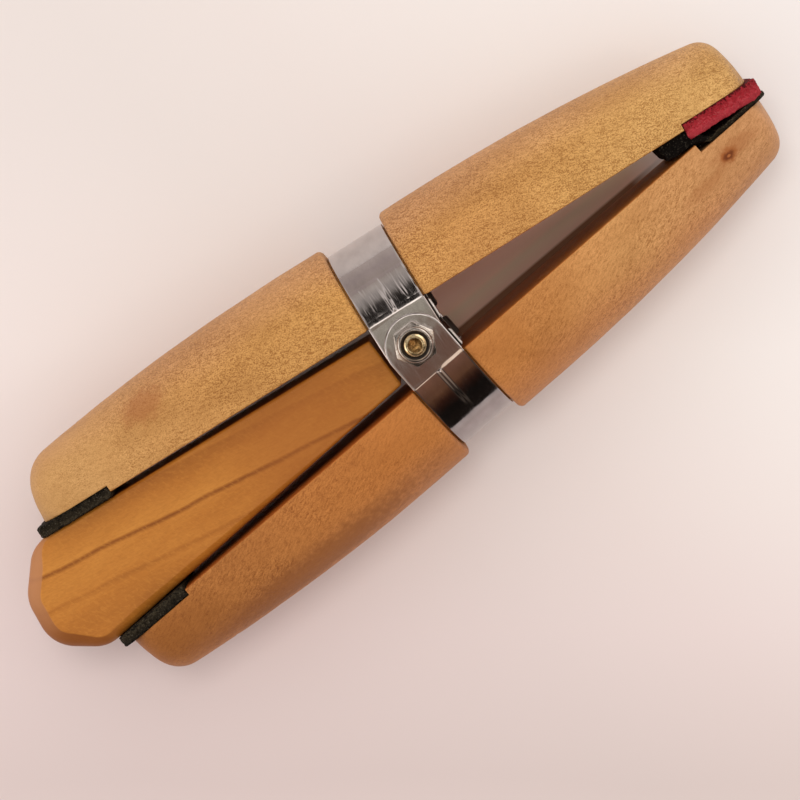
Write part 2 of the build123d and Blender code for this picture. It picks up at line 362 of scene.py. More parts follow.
def rounded_loop(corners, step):
    """Closed loop of points round a polygon whose corners (x, y, radius) are rounded, anticlockwise."""
    arcs = []
    for i, (x, y, radius) in enumerate(corners):
        here = Vector((x, y))
        back = (Vector(corners[i - 1][:2]) - here).normalized()
        ahead = (Vector(corners[(i + 1) % len(corners)][:2]) - here).normalized()
        half = back.angle(ahead) / 2
        reach = radius / tan(half)
        centre = here + (back + ahead).normalized() * (radius / sin(half))
        arcs.append((centre, radius, here + back * reach, here + ahead * reach))
    loop = []
    for (centre, radius, start, end), after in zip(arcs, arcs[1:] + arcs[:1]):
        sweep = (start - centre).angle_signed(end - centre)
        turns = max(2, int(abs(sweep) * radius / step) + 2, int(abs(sweep) / radians(6)) + 2)
        base = atan2(start.y - centre.y, start.x - centre.x)
        for t in np.linspace(0, 1, turns):
            a = base - sweep * t
            loop.append((centre.x + radius * cos(a), centre.y + radius * sin(a)))
        run = (after[2] - end).length
        for t in np.linspace(0, 1, max(2, int(run / step) + 1))[1:-1]:
            loop.append(tuple(end.lerp(after[2], t)))
    return loop


def slab_rows(loop, half, easing, crisp=0.0, steps=7, extra=0):
    """Rows of a slab from its low face to its high face, with extra ones up its side. Its rims are
    rounded by easing(x, y) and meet the faces smoothly, or at a plain edge if crisp is above 0."""
    normals = loop_normals(loop)
    top = pi / 2 - crisp
    rows = []
    for side in (-1, 1):
        angles = np.linspace(top, 0, steps) if side < 0 else np.linspace(0, top, steps)
        for a in angles:
            row = []
            for (x, y), (nx, ny) in zip(loop, normals):
                ease = easing(x, y)
                inset = ease * (1 - cos(a)) / (1 - cos(top))
                w = side * (half - ease * (1 - sin(a) / sin(top)))
                row.append((x - nx * inset, y - ny * inset, w))
            rows.append(row)
    low, high = rows[steps - 1], rows[steps]
    middle = []
    for t in np.linspace(0, 1, extra + 2)[1:-1]:
        middle.append([between(p, q, t) for p, q in zip(low, high)])
    return rows[:steps] + middle + rows[steps:]


def nose_corner(side, shoulder_x, shoulder_y):
    """Corner between the clip on one side of the wedge and its skewed end face."""
    clip = radians(wedge_clip_angles[side])
    skew = side * tan(radians(wedge_nose_skew))
    run = (wedge_nose_length - skew * shoulder_y) / (cos(clip) - skew * sin(clip))
    return shoulder_x - run * cos(clip), side * (shoulder_y - run * sin(clip)), wedge_worn_rounding


def wedge_outline():
    """Corners of the wedge seen from above, and where its shoulders are."""
    pad_face = pivot_to_face - wedge_pad_proud
    touch_x = -pad_end * cos(rest_angle) + pad_face * sin(rest_angle)
    touch_y = pad_end * sin(rest_angle) + pad_face * cos(rest_angle) - wedge_clearance
    slope = tan(radians(wedge_half_angle))
    shoulder_x = touch_x - wedge_shoulder
    shoulder_y = touch_y + wedge_shoulder * slope
    narrow_y = touch_y - (-wedge_narrow_end - touch_x) * slope
    return [(-wedge_narrow_end, -narrow_y, wedge_narrow_rounding),
            (-wedge_narrow_end, narrow_y, wedge_narrow_rounding),
            (shoulder_x, shoulder_y, wedge_shoulder_rounding), nose_corner(1, shoulder_x, shoulder_y),
            nose_corner(-1, shoulder_x, shoulder_y),
            (shoulder_x, -shoulder_y, wedge_shoulder_rounding)], shoulder_x


def wedge_mesh():
    """The wedge, with worn edges and a rounded, askew nose."""
    corners, shoulder_x = wedge_outline()
    loop = rounded_loop(corners, 0.9)

    def easing(x, y):
        """The nose is rounded most; the edge towards the lower jaw is worn towards its wide end."""
        worn = min(max((-18.0 - x) / 50.0, 0.0), 1.0)
        along = 0.4 + (1.5 if y < 0 else 0.1) * worn + 0.08 * rough(x, y, 4.0, 9.0)
        nose = smooth_step((shoulder_x + (4.0 if y > 0 else 1.5) - x) / 7.0)
        return along + (wedge_nose_rounding + 0.15 * rough(x, y, 1.0, 5.0) - along) * nose

    rows = slab_rows(loop, wedge_height / 2, easing, crisp=radians(34), steps=11)
    return make_piece("wedge_wood_block", *loft(rows), Matrix.Identity(4), "wedge", "wedge_wood", "wedge", 14)


def side_radius(x):
    """Radius of the bowed barrel."""
    beyond = max(abs(x) - barrel_straight, 0)
    return barrel_radius - bow_radius + sqrt(bow_radius**2 - beyond**2)


def pad_mesh(side, end, thickness, proud, slot, seed):
    """Leather pad on the upper or lower jaw at the tip end, end = 1, or the wedge end, end = -1.
    The upper tip pad is squashed out over the lower one, whose inner end curls up from the wood."""
    inner = side_radius(pad_inner_x) - pad_edge_gap
    outer = side_radius(half_length - end_dome) - pad_edge_gap
    curled = (side, end) == ("lower", 1)
    squashed = (side, end) == ("upper", 1)
    start, sunk = (-curl_length, curl_narrowing) if curled else (0.0, 0.0)
    corners = [(start, sunk - inner, pad_inner_corner), (pad_length, sunk - outer, pad_corner),
               (pad_length, outer - sunk, pad_corner), (start, inner - sunk, pad_inner_corner)]
    loop = rounded_loop(corners, 0.3)
    easing = min(0.3, thickness * 0.22)
    rows = slab_rows(loop, thickness / 2, lambda x, y: easing, steps=4, extra=6)
    free_from = wedge_height / 2 + 0.5
    normals = loop_normals(loop)
    placed = []
    for row in rows:
        for (x, z, w), (nx, nz) in zip(row, normals):
            # the cut edge is ragged
            ragged = 0.34 * rough(x, z + seed, w * 0.8, 0.75, 3) + 0.2 * rough(x, z, seed + w, 2.6)
            push = min(ragged - 0.1, 0.0)
            px, pz = x + nx * push, z + nz * push
            # the faces are uneven, but no lump rises where the wedge lies against them
            above = smooth_step((abs(z) - free_from) / 0.8)
            face_side = max(0.0, -2 * w / thickness)
            lump = 0.2 * rough(x, z, seed + 7.0, 1.1, 3) + 0.14 * rough(x * 0.6, seed, z, 4.0)
            inward = 0.05 + max(0.0, -lump)
            py = w * (1 - inward * 0.35) - max(lump, 0.0) * above * face_side
            if squashed:
                rim = smooth_step(abs(z) - (side_radius(pad_inner_x + x) - 2.4))
                py -= (0.75 + 0.12 * rough(x, seed, z, 3.0)) * rim * face_side
            if curled:
                lifted = smooth_step((3.4 - x) / 3.2)
                py += (2.6 * py - 2.95 + 0.12 * x - 0.2 * rough(x, z, seed, 2.0)) * lifted
            placed.append((end * (pad_inner_x + px), pivot_to_face - proud + thickness / 2 + py, pz))
    _, faces = loft(rows)
    node = side + ("_tip_pad" if end > 0 else "_wedge_pad")
    piece = jaw_piece(side, node + "_leather", (placed, faces), slot, node, 60)
    return piece


# Straps

def strap_path(radii):
    """Outer face of the band from the top ear's crease round the barrel to the low ear's crease.
    Each crease has its own rounding, and the flank below it bows out a little."""
    halves = []
    for up, ear_top, radius in ((1, inner_ear_top, radii[0]), (-1, outer_ear_top, radii[1])):
        outer = radius + strap_thickness
        flank_tilt = acos(strap_radius / hypot(crease_offset, ear_top))
        first, last = flank_tilt - radians(crease_bow), flank_tilt + radians(crease_bow)
        reach = outer * tan(first / 2)
        centre = (pivot_to_face + crease_offset - reach, ear_top - outer)
        half = []
        for t in np.linspace(0, first, crease_steps):
            half.append((centre[0] + outer * sin(t), centre[1] + outer * cos(t), sin(t), cos(t)))
        start = Vector(half[-1][:2])
        end = Vector((pivot_to_face + strap_radius * sin(last), strap_radius * cos(last)))
        third = (end - start).length / 3
        pull_start = start + third * Vector((cos(first), -sin(first)))
        pull_end = end - third * Vector((cos(last), -sin(last)))
        for step in range(1, 13):
            share = step / 13
            rest = 1 - share
            p = rest**3 * start + 3 * rest**2 * share * pull_start
            p += 3 * rest * share**2 * pull_end + share**3 * end
            t = first + (last - first) * share
            half.append((p.x, p.y, sin(t), cos(t)))
        for t in np.linspace(last, pi / 2, 26):
            half.append((pivot_to_face + strap_radius * sin(t), strap_radius * cos(t), sin(t), cos(t)))
        halves.append([(y, up * z, ny, up * nz) for y, z, ny, nz in half])
    return halves[0] + list(reversed(halves[1]))[1:]


def bead_lift(x, run, height, length):
    """Height of the pressed rib at a distance across the strap and along it from the crease."""
    if abs(x) > bead_half_width or run < bead_start or run > length:
        return 0.0
    rise = smooth_step((run - bead_start) / bead_rise)
    fade = smooth_step((length - run) / (length - 1.0))
    return height * (0.5 + 0.5 * cos(pi * x / bead_half_width)) * rise * fade


def mark_open_edges(mesh):
    """Marks the edges that belong to one face only, so that they are the ones to be rounded."""
    uses = {}
    for face in mesh.polygons:
        for key in face.edge_keys:
            uses[key] = uses.get(key, 0) + 1
    weights = mesh.attributes.new("bevel_weight_edge", "FLOAT", "EDGE")
    for edge, weight in zip(mesh.edges, weights.data):
        weight.value = 1.0 if uses.get(edge.key, 0) == 1 else 0.0


def strap_mesh(side):
    """U-shaped half strap: band, two drilled ears and a rib across each crease. The low crease is
    sharper towards the wedge end."""
    columns = [*np.linspace(-strap_half_width, -fine_half_width, 9),
               *np.linspace(-fine_half_width, fine_half_width, 19)[1:-1],
               *np.linspace(fine_half_width, strap_half_width, 9)]
    count = len(columns)
    worn = strap_path((crease_radius, crease_worn_radius))
    plain = strap_path((crease_radius, crease_sharp_radius))
    points, runs = [], [0.0]
    for (y0, z0, _, _), (y1, z1, _, _) in zip(worn, worn[1:]):
        runs.append(runs[-1] + hypot(y1 - y0, z1 - z0))
    arc_start, arc_end = worn[0], worn[crease_steps - 1]
    crease = hypot(arc_end[0] - arc_start[0], arc_end[1] - arc_start[1]) / 2
    for worn_point, plain_point, run in zip(worn, plain, runs):
        for x in columns:
            y, z, ny, nz = between(plain_point, worn_point, smooth_step((x - 0.3) / 0.9))
            lift = sum(bead_lift(x, along - crease, *bead_sizes[side]) for along in (run, runs[-1] - run))
            points.append((x, y + ny * lift, z + nz * lift))
    grid = [range(first, first + count) for first in range(0, len(points), count)]
    faces = join(grid, closed=False)
    for up, ear_top, crease_row in ((1, inner_ear_top, grid[0]), (-1, outer_ear_top, grid[-1])):
        left_y, right_y = points[crease_row[0]][1], points[crease_row[-1]][1]
        outline = [(strap_half_width, y) for y in np.linspace(right_y, ear_arc_offset, 12)[1:-1]]
        outline += [p[:2] for p in arc_points((0, ear_arc_offset), strap_half_width, 0, -180, 37)]
        outline += [(-strap_half_width, y) for y in np.linspace(ear_arc_offset, left_y, 9)[1:-1]]
        start = len(points)
        points += [(x, y, up * ear_top) for x, y in outline]
        rim = [*crease_row, *range(start, len(points))]
        rings = []
        for share in (0.0, 0.12, 0.35, 0.65, 0.88):
            start = len(points)
            for index in rim:
                edge = points[index][:2]
                hole = [bolt_hole_radius * value / hypot(*edge) for value in edge]
                points.append((*between(hole, edge, share), up * ear_top))
            rings.append(range(start, len(points)))
        faces += join(rings + [rim])
    piece = jaw_piece(side, side + "_strap_plate", (points, faces), "strap_steel", side + "_strap", 60)
    mark_open_edges(piece.data)
    thick = piece.modifiers.new("plate", "SOLIDIFY")
    thick.thickness = strap_thickness * MM
    thick.offset = -1.0
    thick.use_even_offset = True
    eased = piece.modifiers.new("edges", "BEVEL")
    eased.width = strap_edge_rounding * MM
    eased.segments = 3
    eased.limit_method = "WEIGHT"
    eased.use_clamp_overlap = False
    return piece


def lug_mesh(side):
    """Thin turned-down lips beside the right edge of both ears, each with a dark slot behind it."""
    points, faces = [], []
    root = strap_half_width - lug_root_inset
    inner, outer = strap_half_width + lug_gap, strap_half_width + lug_gap + lug_plate
    middle, half = (inner + outer) / 2, lug_plate / 2
    for up, ear_top, (near, far) in ((1, inner_ear_top, lug_spans[0]), (-1, outer_ear_top, lug_spans[1])):
        floor_top = ear_top - lug_floor
        low, lip = ear_top - lug_depth, ear_top - lug_lip_drop
        section = [(root, floor_top - lug_floor_plate), (inner, floor_top - lug_floor_plate)]
        for centre, first in (((middle, low + half), 180), ((middle, lip - half), 0)):
            section += [p[:2] for p in arc_points(centre, half, first, first + 180, 7)]
        section += [(inner, floor_top), (root, floor_top)]
        rows = []
        ends = [near + lug_near_rounding * (1 - cos(a)) for a in np.linspace(0.3, pi / 2, 8)]
        for y in ends + [far - 0.3, far - 0.1, far]:
            inset = max(0.0, 1 - (y - near) / lug_near_rounding, 1 - (far - y) / lug_far_rounding)
            share = max(0.2, sqrt(max(0.0, 1 - inset**2)))
            row = []
            for x, z in section:
                raised = floor_top + (z - floor_top) * share if z > floor_top else z
                row.append((root + (x - root) * (0.45 + 0.55 * share), y, up * raised))
            rows.append(row)
        more_points, more_faces = loft(rows)
        faces += [tuple(index + len(points) for index in face) for face in more_faces]
        points += more_points
    return jaw_piece(side, side + "_strap_lugs", (points, faces), "strap_steel", side + "_strap", 50)


# Pivot hardware

def circle(radius):
    """The same radius in every direction."""
    return lambda a: radius


def hexagon(flats, turn=0.0, ease=0.0):
    """Distance from the middle to the side of a hexagon in a given direction."""
    def radius(a):
        share = (a - turn) % (pi / 3) - pi / 6
        flat = flats / 2 / cos(share)
        return min(flat, flats / 2 / cos(pi / 6) - ease)
    return radius


def turned_piece(name, rows, count, slot, stands_for, sharp_angle=30, start=0.0, ring=True):
    """Makes a piece from rows about the Z axis, each a height and a radius as a function of the angle.
    A ring's last row meets its first one; any other piece is closed by two flat ends."""
    angles = [2 * pi * i / count + start for i in range(count)]
    sections = [[(radius(a) * cos(a), radius(a) * sin(a), z) for a in angles] for z, radius in rows]
    points, faces = loft(sections + sections[:1], capped=False) if ring else loft(sections)
    return make_piece(name, points, faces, Matrix.Identity(4), "pivot", slot, stands_for, sharp_angle)


def nut_mesh():
    """Lock nut: hexagon with chamfered corners, and a rolled collar that holds the nylon ring."""
    bottom = outer_ear_top + face_gap
    turn = radians(nut_turn)
    corner = nut_flats / 2 / cos(pi / 6)
    side = hexagon(nut_flats, turn, nut_corner_easing)
    bore = bolt_radius + hardware_gap

    def cone(z):
        from_face = min(z, nut_hex_height - z)
        limit = corner - 2 * max(nut_corner_drop - from_face, 0.0)
        return lambda a: min(side(a), limit)

    drops = (0.0, 0.04, 0.12, 0.2, 0.28, nut_corner_drop)
    heights = [*drops, 1.0, 2.5, *(nut_hex_height - drop for drop in reversed(drops))]
    rows = [(0, circle(bore)), (0, circle(nut_face_radius))] + [(z, cone(z)) for z in heights]
    for radius, z, size, first, last, count in (
            (nut_collar_radius + nut_fillet, nut_hex_height + nut_fillet, nut_fillet, 270, 180, 5),
            (nut_collar_radius - nut_roll, nut_height - nut_roll, nut_roll, 0, 90, 8),
            (nut_lip_radius + nut_lip_easing, nut_height - nut_lip_easing, nut_lip_easing, 90, 180, 4)):
        rows += [(p[1], circle(p[0])) for p in arc_points((radius, z), size, first, last, count)]
    pocket_top, pocket_floor = nut_height - ring_lip, nut_height - ring_lip - ring_height
    rows += [(pocket_top, circle(nut_lip_radius)), (pocket_top, circle(ring_radius)),
             (pocket_floor, circle(ring_radius)), (pocket_floor, circle(bore))]
    rows = [(z + bottom, radius) for z, radius in rows]
    return turned_piece("lock_nut_steel", rows, 144, "zinc_plated_steel", "lock_nut", start=turn)


def ring_mesh():
    """Nylon ring with an eased upper inner edge."""
    base = outer_ear_top + face_gap + nut_height - ring_lip - ring_height + seat_gap
    height = ring_height - 2 * seat_gap
    outer, inner = ring_radius - seat_gap, bolt_radius + hardware_gap
    profile = [(0.0, inner), (0.0, outer), (height, outer), (height, inner + 0.22),
               (height - 0.06, inner + 0.1), (height - 0.2, inner)]
    rows = [(z + base, circle(radius)) for z, radius in profile]
    return turned_piece("nut_ring_nylon", rows, 96, "dark_nylon", "nut_ring")


def bolt_mesh():
    """Domed head with a hexagon socket, plain shank and a rounded end with a thread."""
    head_top = -outer_ear_top - face_gap
    low = head_top - head_height
    shank_end = outer_ear_top + face_gap + nut_height + bolt_end_above_nut
    rounding_start = shank_end - bolt_end_rounding
    thread_from = shank_end - thread_length
    socket = hexagon(socket_flats)

    def thread(z):
        above = max(0.0, z - rounding_start)
        rounded = bolt_radius - bolt_end_rounding + sqrt(bolt_end_rounding**2 - above**2)
        grow = min((z - thread_from) / thread_run_in, 1.0)

        def radius(a):
            phase = ((z - thread_from) / thread_pitch - a / (2 * pi)) % 1.0
            crest = abs(phase - 0.5) * 2
            cut = thread_depth * max(0.0, min(1.0, 1.15 * crest - 0.1)) * grow
            return min(bolt_radius - cut, rounded)
        return radius

    rows = [(low + socket_depth, circle(hub_radius)), (low + socket_depth, socket),
            (low + socket_easing, socket), (low, lambda a: socket(a) + socket_easing),
            (low, circle(head_face_radius))]
    for a in np.linspace(0, pi / 2, 9)[1:]:
        radius = head_face_radius + (head_radius - head_face_radius) * sin(a)
        rows.append((low + (head_height - head_side) * (1 - cos(a)), circle(radius)))
    rows += [(head_top - 0.15, circle(head_radius)), (head_top, circle(head_radius - 0.12)),
             (head_top, circle(bolt_radius)), (thread_from, circle(bolt_radius))]
    for z in np.arange(thread_from + thread_step, shank_end - 0.02, thread_step):
        rows.append((float(z), thread(float(z))))
    rows += [(shank_end, circle(bolt_radius - bolt_end_rounding)), (shank_end - 0.05, circle(1.3)),
             (shank_end - 0.06, circle(hub_radius))]
    return turned_piece("pivot_bolt_plated", rows, 96, "yellow_plated_steel", "pivot_bolt", 35, ring=False)


def spacer_mesh():
    """Tube between the two inner ears, with eased outer edges."""
    half = inner_ear_top - strap_thickness - face_gap
    third = spacer_easing / 3
    upper = [(half - spacer_easing, spacer_radius), (half - third, spacer_radius - third),
             (half, spacer_radius - spacer_easing), (half, bolt_hole_radius)]
    profile = [(-z, radius) for z, radius in reversed(upper)] + upper
    rows = [(z, circle(radius)) for z, radius in profile]
    return turned_piece("spacer_tube_steel", rows, 72, "zinc_plated_steel", "spacer_tube")


# Materials

def feed(tree, node, inputs):
    """Links a node's inputs to values, or sets them to numbers, vectors or (r, g, b) colours."""
    for key, value in inputs.items():
        socket = node.inputs[key]
        if isinstance(value, Value):
            tree.links.new(value.socket, socket)
        else:
            socket.default_value = (*value, 1) if socket.type == "RGBA" else value


def add_node(tree, kind, inputs, **settings):
    """Adds a node, sets it up and feeds its inputs."""
    node = tree.nodes.new("ShaderNode" + kind)
    for key, setting in settings.items():
        setattr(node, key, setting)
    feed(tree, node, inputs)
    return node


class Value:
    """Output of a new node, with methods that add further nodes behind it."""

    def __init__(self, tree, kind, inputs, output=0, **settings):
        self.tree = tree
        self.socket = add_node(tree, kind, inputs, **settings).outputs[output]

    def to(self, kind, inputs, output=0, **settings):
        """A new node's output, with this value as its first input."""
        return Value(self.tree, kind, {0: self, **inputs}, output, **settings)

    def math(self, operation, *others):
        """Result of a calculation with this value and any further numbers or values."""
        return self.to("Math", dict(enumerate(others, 1)), operation=operation)

    __add__ = partialmethod(math, "ADD")
    __sub__ = partialmethod(math, "SUBTRACT")
    __mul__ = partialmethod(math, "MULTIPLY")
    __truediv__ = partialmethod(math, "DIVIDE")
    __abs__ = partialmethod(math, "ABSOLUTE")

    def __rsub__(self, other):
        return Value(self.tree, "Math", {0: other, 1: self}, operation="SUBTRACT")

    def ramp(self, *stops, smooth=False):
        """Colour ramp from (position, grey) or (position, (r, g, b)) stops."""
        result = self.to("ValToRGB", {})
        ramp = result.socket.node.color_ramp
        if smooth:
            ramp.interpolation = "EASE"
        while len(ramp.elements) < len(stops):
            ramp.elements.new(0.5)
        for element, (position, colour) in zip(ramp.elements, stops):
            element.position = position
            element.color = (*colour, 1) if isinstance(colour, tuple) else (colour, colour, colour, 1)
        return result

    def rise(self, low, high, smooth=False):
        """0 where this value is up to low, 1 where it is from high."""
        return self.ramp((low, 0.0), (high, 1.0), smooth=smooth)

    def mix(self, first, second):
        """Mixes two colours, with this value as the second one's share."""
        return self.to("Mix", {6: first, 7: second}, 2, data_type="RGBA")

    def tinted(self, other):
        """Product of two colours."""
        colours = {0: 1.0, 6: self, 7: other}
        return Value(self.tree, "Mix", colours, 2, data_type="RGBA", blend_type="MULTIPLY")

    def scaled(self, scale, turn=0.0):
        """A vector scaled and then turned about Z."""
        return self.to("Mapping", {"Scale": scale, "Rotation": (0, 0, turn)})

    def noise(self, scale, detail=3.0, roughness=0.55, distortion=0.0):
        """Smooth noise around 0.5 at a vector."""
        looks = {"Scale": scale, "Detail": detail, "Roughness": roughness, "Distortion": distortion}
        return self.to("TexNoise", looks, "Fac")

    def split(self):
        """The three parts of a vector."""
        return [self.to("SeparateXYZ", {}, axis) for axis in range(3)]


class Surface:
    """A new material with one shader."""

    def __init__(self, name, roughness=0.5, metallic=0.0, specular=0.5):
        self.material = bpy.data.materials.new(name)
        self.material.use_nodes = True
        self.tree = self.material.node_tree
        self.tree.nodes.clear()
        looks = {"Roughness": roughness, "Metallic": metallic, "Specular IOR Level": specular}
        self.shader = add_node(self.tree, "BsdfPrincipled", looks)
        output = add_node(self.tree, "OutputMaterial", {})
        self.tree.links.new(self.shader.outputs[0], output.inputs[0])

    def place(self, turn=0.0, scale=(1, 1, 1)):
        """Object coordinates in millimetres about the pivot, turned about Z, then scaled."""
        coordinates = Value(self.tree, "TexCoord", {}, "Object")
        from_pivot = coordinates.to("VectorMath", {1: pivot}, operation="SUBTRACT")
        return from_pivot.scaled((1000, 1000, 1000), turn).scaled(scale)

    def blob(self, turn, centre, radii):
        """1 inside a ragged ellipsoid, given in millimetres about the pivot, fading to 0 outside it."""
        local = self.place(turn)
        centred = local.to("Mapping", {"Location": centre, "Scale": radii}, vector_type="TEXTURE")
        reach = centred.to("VectorMath", {}, "Value", operation="LENGTH")
        return (local.noise(0.8) - 0.5 + reach).ramp((0.3, 1.0), (1.1, 0.0), smooth=True)

    def finished(self, colour, roughness=None, height=None, depth=0.0, strength=1.0):
        """The material with its colour and, if given, its roughness and its relief.
        The depth of the relief is in millimetres for a height of 1."""
        inputs = {"Base Color": colour}
        if roughness is not None:
            inputs["Roughness"] = roughness
        if height is not None:
            relief = {"Strength": strength, "Distance": depth * MM, "Height": height}
            inputs["Normal"] = Value(self.tree, "Bump", relief)
        feed(self.tree, self.shader, inputs)
        return self.material


def linear(*levels):
    """Linear colour from sRGB levels of 0 to 255."""
    shares = [level / 255 for level in levels]
    return tuple(share / 12.92 if share <= 0.04045 else ((share + 0.055) / 1.055) ** 2.4 for share in shares)


def tones(*stops):
    """Stops of a colour ramp, each given as a position and sRGB levels."""
    return [(position, linear(*levels)) for position, *levels in stops]


def jaw_wood(name, turn, along_tones, flank_bounce_tone, strength, lean, fleck, grain, spots):
    """Turned beech: colour that drifts along the jaw, a pinker painted bounce light from the table towards
    its outer side and painted shade that makes its inner face browner, short curly flecks that lean to the
    length of the jaw, and a granular sanded surface."""
    nodes = Surface(name, roughness=0.52, specular=0.25)
    local = nodes.place(turn)
    x, y, _ = local.split()
    drift = local.noise(0.05, 2.0) - 0.5
    along = x / tone_span + 0.5
    base = (drift * 0.12 + along).ramp(*along_tones)
    outer = (abs(y) - pivot_to_face) / barrel_radius
    # painted light: towards the outer flank the colour turns to a pinker tone, as if lit by light off the
    # table
    flank_bounce_share = (drift * 0.5 + outer).ramp((0.45, 0.0), (0.95, 0.7), smooth=True)
    base = flank_bounce_share.mix(base, flank_bounce_tone)
    broad = local.scaled((0.5, 1.0, 1.0)).noise(0.11, 3.0, 0.55, 0.5)
    clouds = broad.ramp((0.34, (0.9, 0.87, 0.82)), (0.5, 1.0), (0.66, (1.06, 1.07, 1.1)))
    base = base.tinted(clouds)
    curls = nodes.place(turn + lean, (0.95, 2.8, 1.8)).noise(1.0, 2.0, 0.6, 0.7)
    sanded = local.noise(4.4, 2.0, 0.7)
    patchy = local.noise(0.09, 2.0).ramp((0.38, 0.55), (0.6, 1.0))
    relief = (curls - 0.5) * fleck + (sanded - 0.5) * grain
    relief = relief * patchy * along.ramp(*strength)
    shade = (relief + 0.5).ramp(
        (0.25, (0.62, 0.5, 0.36)), (0.5, (0.97, 0.96, 0.94)), (0.75, (1.2, 1.24, 1.32)))
    # painted shade: the inner face, in the narrow gap between the jaws, is tinted browner and darker
    inner = outer.ramp((0.001, (0.74, 0.5, 0.24)), (0.009, 1.0))
    base = base.tinted(shade).tinted(inner)
    for centre, radii, colour, weight in spots:
        base = (nodes.blob(turn, centre, radii) * weight).mix(base, colour)
    return nodes.finished(base, sanded.ramp((0.3, 0.44), (0.7, 0.6)), relief, 0.1, 0.5)


def wedge_wood():
    """Smooth oiled wedge with a few long dark growth lines, and painted shade on the sides of its rounded
    nose, darkest on the side away from the light.
    """
    nodes = Surface("wedge_oiled_wood", roughness=0.42, specular=0.3)
    local = nodes.place()
    x, y, z = local.split()
    wander = local.scaled((0.05, 0.08, 0.08)).noise(1.0, 2.0) - 0.5
    rings = wander * 1.6 + x * 0.178 + y + (z - wedge_height / 2) * 0.3
    lines = (rings / 40.0 + 0.488).ramp(
        (0.0, 0.62), (0.1, 0.4), (0.125, 0.62), (0.14, 0.4), (0.268, 0.42), (0.28, 1.0), (0.286, 1.0),
        (0.296, 0.3), (0.4, 0.42), (0.47, 0.6), (0.48, 0.38), (0.6, 0.42), (0.64, 0.76), (0.655, 0.38),
        (0.8, 0.6), (0.82, 0.38), (1.0, 0.5))
    broad = local.scaled((0.3, 1.0, 1.0)).noise(0.16)
    light, middle, dark = linear(203, 134, 54), linear(184, 114, 40), linear(136, 74, 16)
    base = (lines * 0.62 + broad * 0.38).ramp((0.3, light), (0.47, middle), (0.8, dark))
    fine = nodes.place(radians(10), (0.25, 1.0, 1.0)).noise(2.6, 3.0, 0.7, 0.4)
    base = (fine.rise(0.42, 0.66) * 0.2).mix(base, dark)
    curl = nodes.place(radians(60), (0.7, 1.6, 1.0)).noise(1.2, 2.0, 0.6, 0.6)
    base = (curl.rise(0.5, 0.66) * 0.3).mix(base, light)
    near_narrow_end = (x / 100.0 + 1.0).ramp((0.55, 0.0), (0.72, 0.5), (0.8, 0.45), (0.92, 0.0), smooth=True)
    base = near_narrow_end.mix(base, linear(166, 96, 34))
    # painted shade: the sides of the nose face away from the light and are darkened, most towards the lower
    # jaw
    rim = (wedge_height / 2 - abs(z)).rise(0.05, 0.12)
    at_nose = (x / -100.0).rise(0.7, 0.76)
    toward_light = (y / 24.0 + 0.5).rise(0.2, 0.75, smooth=True)
    nose_painted_shade = toward_light.mix(linear(128, 68, 18), linear(176, 118, 76))
    base = (rim * at_nose * 0.85).mix(base, nose_painted_shade)
    return nodes.finished(base, fine.ramp((0.3, 0.36), (0.7, 0.5)), fine, 0.02, 0.4)


def strap_steel():
    """Bright pressed steel, a little bowed and wavy, darkened round the barrel as painted shade, most on the
    lower strap, with fine scratches round the barrel and a rippled flank beside the upper strap's crease."""
    nodes = Surface("polished_strap_steel", roughness=0.14, metallic=1.0)
    local = nodes.place()
    _, y, z = local.split()
    scratches, smudges, waves, ripples = (
        local.scaled((1.0, around, around)).noise(*looks)
        for around, *looks in ((0.06, 8.0, 4.0, 0.7), (0.6, 0.35),
                               (0.2, 0.8, 2.0, 0.5), (0.1, 0.9, 2.0, 0.5)))
    base = smudges.rise(0.35, 0.7).mix(linear(200, 192, 190), linear(184, 176, 174))
    # painted shade: round the barrel the steel is darkened, by about a quarter on the lower strap and a
    # little on the upper one, to dim the table's reflection there
    on_upper = y.math("GREATER_THAN", 0.0)
    dull = on_upper.mix((0.74, 0.76, 0.78), (0.93, 0.95, 0.95))
    on_barrel = (abs(z) / strap_radius).ramp((0.74, 1.0), (0.8, 0.0))
    base = on_barrel.mix(base, base.tinted(dull))
    wear = scratches * 0.5 + smudges * 0.5
    across = abs(y).math("MINIMUM", 6.0)
    across_bow, fade = 220.0, 0.35
    above_barrel = abs(z) - strap_radius * cos(radians(30))
    below_ear = inner_ear_top - 0.15 - abs(z)
    on_flank = above_barrel.rise(0.0, fade) * below_ear.rise(0.0, fade)
    rippled = on_flank * (on_upper * 0.13 + 0.02)
    height = across * across / (-2 * across_bow) + waves * 0.05 + ripples * rippled + scratches * 0.0025
    return nodes.finished(base, wear.ramp((0.35, 0.05), (0.65, 0.15)), height, 1.0)


def lip_steel_painted_light(name, turn):
    """Steel on the thin lips beside the ears: dull, with a pale painted highlight on the lips beside the
    upper ears, and dark as painted shade in the slot behind a lip and on the ears below."""
    nodes = Surface(name, roughness=0.38, metallic=0.35)
    local = nodes.place(turn)
    x, _, z = local.split()
    lip_mottle = local.noise(1.2, 3.0, 0.6)
    # painted highlight: the lips beside the upper ears are pale, standing in for the bright line that their
    # bends mirror
    pale = lip_mottle.ramp(*tones((0.35, 205, 196, 188), (0.65, 240, 232, 224)))
    outwards = (x - (strap_half_width + lug_gap)) * 0.5 + 0.5
    # painted shade: dark in the slot behind the lip and on the lips of the ears below the clamp
    above = outwards.rise(0.47, 0.51).mix(linear(38, 26, 20), pale)
    base = z.math("GREATER_THAN", 0.0).mix(linear(98, 82, 72), above)
    return nodes.finished(base, lip_mottle.ramp((0.35, 0.45), (0.65, 0.3)), lip_mottle, 0.02)


